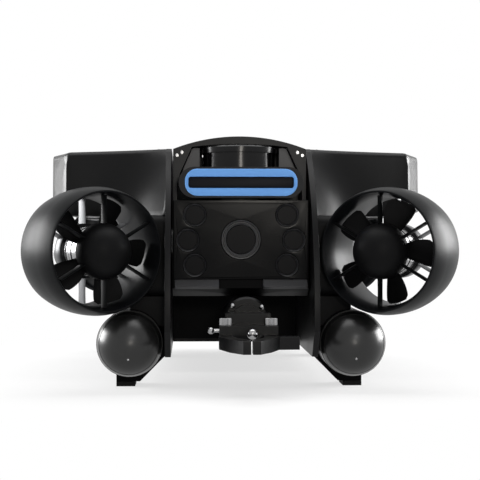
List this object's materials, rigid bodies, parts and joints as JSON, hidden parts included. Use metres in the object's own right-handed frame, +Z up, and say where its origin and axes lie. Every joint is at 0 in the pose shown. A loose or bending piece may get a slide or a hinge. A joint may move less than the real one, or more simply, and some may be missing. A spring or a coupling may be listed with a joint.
{
  "type": "underwater inspection rov",
  "caption": "Underwater inspection vehicle with toed ducted thrusters, lift thrusters, battery pods and a tilting tool head with camera, lamps, sonar and gripper.",
  "frame": {"origin": "on the floor under the middle of the vehicle", "axes": "+Z up, the camera looks along -Y, +X is to the right in a view from the front"},
  "size_m": [0.4372, 0.7, 0.2635],
  "materials": {
    "carbon": "satin",
    "shell": "satin",
    "panel": "matte",
    "gloss": "gloss",
    "duct": "satin",
    "pod": "satin metallic",
    "steel": "turned",
    "anodised": "black anodised",
    "blue": "satin",
    "glass": "dark",
    "rubber": "matte",
    "foam": "matte",
    "bronze": "plain"
  },
  "bodies": {
    "hull": {"side_plate_left": "carbon", "side_plate_right": "carbon", "pivot_bearings": "bronze", "front_bulkhead": "carbon", "belly_pan": "carbon", "top_cowl": "shell", "tail_cover": "shell", "tether_connector": "anodised", "lifting_eye": "steel", "electronics_hull": "anodised", "foam_blocks": "foam", "wing_shell_left": "shell", "wing_shell_right": "shell", "lift_tunnels": "panel", "lift_motors": "anodised", "pod_tube_left": "pod", "pod_tube_right": "pod", "pod_domes": "pod", "battery_packs": "anodised", "legs": "panel", "foot_pads": "rubber", "duct_front_left": "duct", "inlet_guard_front_left": "panel", "motor_front_left": "steel", "duct_front_right": "duct", "inlet_guard_front_right": "panel", "motor_front_right": "steel", "duct_rear_left": "duct", "inlet_guard_rear_left": "panel", "motor_rear_left": "steel", "duct_rear_right": "duct", "inlet_guard_rear_right": "panel", "motor_rear_right": "steel"},
    "head": {"head_housing": "panel", "face_panel": "panel", "lamp_cups": "panel", "lamp_lenses": "glass", "camera_bezel": "anodised", "camera_window": "glass", "camera_module": "anodised", "chin_bumpers": "panel", "tilt_motor": "anodised", "pivot_shafts": "steel", "sonar_body": "gloss", "sonar_bezel": "panel", "sonar_ring": "blue", "sonar_window": "glass", "sonar_hood": "shell", "gripper_can": "anodised", "head_screws": "steel"},
    "wrist": {"gripper_wrist": "anodised", "gripper_pins": "steel"},
    "jaw_left": {"jaw_left": "anodised"},
    "jaw_right": {"jaw_right": "anodised"},
    "propeller_front_left": {"propeller_front_left": "panel"},
    "propeller_front_right": {"propeller_front_right": "panel"},
    "propeller_rear_left": {"propeller_rear_left": "panel"},
    "propeller_rear_right": {"propeller_rear_right": "panel"},
    "lift_propeller_left": {"lift_propeller_left": "panel"},
    "lift_propeller_right": {"lift_propeller_right": "panel"}
  },
  "joints": [
    {"name": "head_tilt", "type": "hinge", "parent": "hull", "child": "head", "pos_m": [0, -0.165, 0.15], "axis": [1, 0, 0], "range_deg": [-100, 90]},
    {"name": "wrist_turn", "type": "hinge", "parent": "head", "child": "wrist", "pos_m": [0.005, -0.245, 0.072], "axis": [0, -1, 0], "continuous": true},
    {"name": "jaw_right_swing", "type": "hinge", "parent": "wrist", "child": "jaw_right", "pos_m": [0.027, -0.277, 0.054], "axis": [0, 0, 1], "range_deg": [0, 35]},
    {"name": "jaw_left_swing", "type": "hinge", "parent": "wrist", "child": "jaw_left", "pos_m": [-0.017, -0.277, 0.054], "axis": [0, 0, 1], "range_deg": [-35, 0]},
    {"name": "spin_front_left", "type": "hinge", "parent": "hull", "child": "propeller_front_left", "pos_m": [-0.13, -0.27, 0.14], "axis": [0.5, -0.866, 0], "continuous": true},
    {"name": "spin_front_right", "type": "hinge", "parent": "hull", "child": "propeller_front_right", "pos_m": [0.13, -0.27, 0.14], "axis": [-0.5, -0.866, 0], "continuous": true},
    {"name": "spin_rear_left", "type": "hinge", "parent": "hull", "child": "propeller_rear_left", "pos_m": [-0.13, 0.27, 0.14], "axis": [0.5, 0.866, 0], "continuous": true},
    {"name": "spin_rear_right", "type": "hinge", "parent": "hull", "child": "propeller_rear_right", "pos_m": [0.13, 0.27, 0.14], "axis": [-0.5, 0.866, 0], "continuous": true},
    {"name": "spin_lift_left", "type": "hinge", "parent": "hull", "child": "lift_propeller_left", "pos_m": [-0.134, 0, 0.222], "axis": [0, 0, 1], "continuous": true},
    {"name": "spin_lift_right", "type": "hinge", "parent": "hull", "child": "lift_propeller_right", "pos_m": [0.134, 0, 0.222], "axis": [0, 0, 1], "continuous": true}
  ],
  "couplings": [
    {"joint": "jaw_left_swing", "follows": "jaw_right_swing", "ratio": -1}
  ]
}
